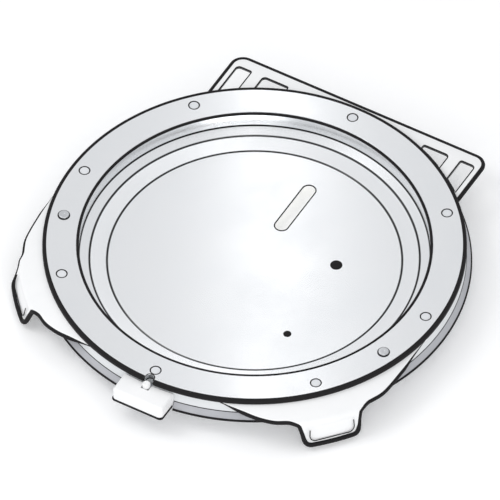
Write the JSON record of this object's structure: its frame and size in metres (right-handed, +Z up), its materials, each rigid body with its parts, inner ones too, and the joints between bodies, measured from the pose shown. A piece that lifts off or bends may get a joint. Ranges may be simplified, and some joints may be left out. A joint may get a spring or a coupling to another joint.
{
  "type": "manhole cover",
  "caption": "Round manhole cover with a dished lift-out pan, screwed clamp ring, down-turned ears, rear grid and a sliding latch.",
  "frame": {"origin": "centre of the spigot's bottom edge, on the axis of the ring", "axes": "+Z up along the ring's axis, -Y towards the latch, +Y towards the rear grid"},
  "size_m": [0.7378, 0.768, 0.078],
  "materials": {
    "frame_coating": "satin",
    "grey_rubber": "matte",
    "black_rubber": "matte",
    "ring_aluminium": "brushed",
    "pan_aluminium": "brushed",
    "white_coating": "satin",
    "zinc_steel": "zinc plated",
    "pin_steel": "polished",
    "cap_plastic": "moulded",
    "spring_steel": "blued"
  },
  "bodies": {
    "frame": {"frame_ring": "frame_coating", "flange_seal": "grey_rubber", "ring_gasket": "black_rubber", "clamp_ring": "ring_aluminium", "ring_screws": "zinc_steel", "screw_caps": "cap_plastic", "ear_pins": "pin_steel", "ear_left": "white_coating", "ear_right": "white_coating", "rear_grid": "white_coating", "grid_rivets": "zinc_steel", "seat_gasket": "black_rubber", "latch_housing": "white_coating", "latch_base": "zinc_steel", "latch_screws": "zinc_steel", "housing_screws": "zinc_steel", "latch_spring": "spring_steel"},
    "cover": {"pan": "pan_aluminium", "pan_edge_seal": "black_rubber", "key_pocket": "white_coating", "slot_plate": "white_coating", "pan_rib_cross": "pan_aluminium", "pan_rib_front": "pan_aluminium", "pan_rib_left": "pan_aluminium", "pan_rib_right": "pan_aluminium", "keeper_cup": "pan_aluminium", "drain_bung": "black_rubber", "breather_plug": "black_rubber"},
    "latch": {"latch_bolt": "zinc_steel", "latch_knob": "white_coating"}
  },
  "joints": [
    {"name": "cover_lift", "type": "slide", "parent": "frame", "child": "cover", "axis": [0, 0, 1], "range_m": [0, 0.15]},
    {"name": "latch_slide", "type": "slide", "parent": "frame", "child": "latch", "axis": [0, 1, 0], "range_m": [0, 0.012]}
  ]
}
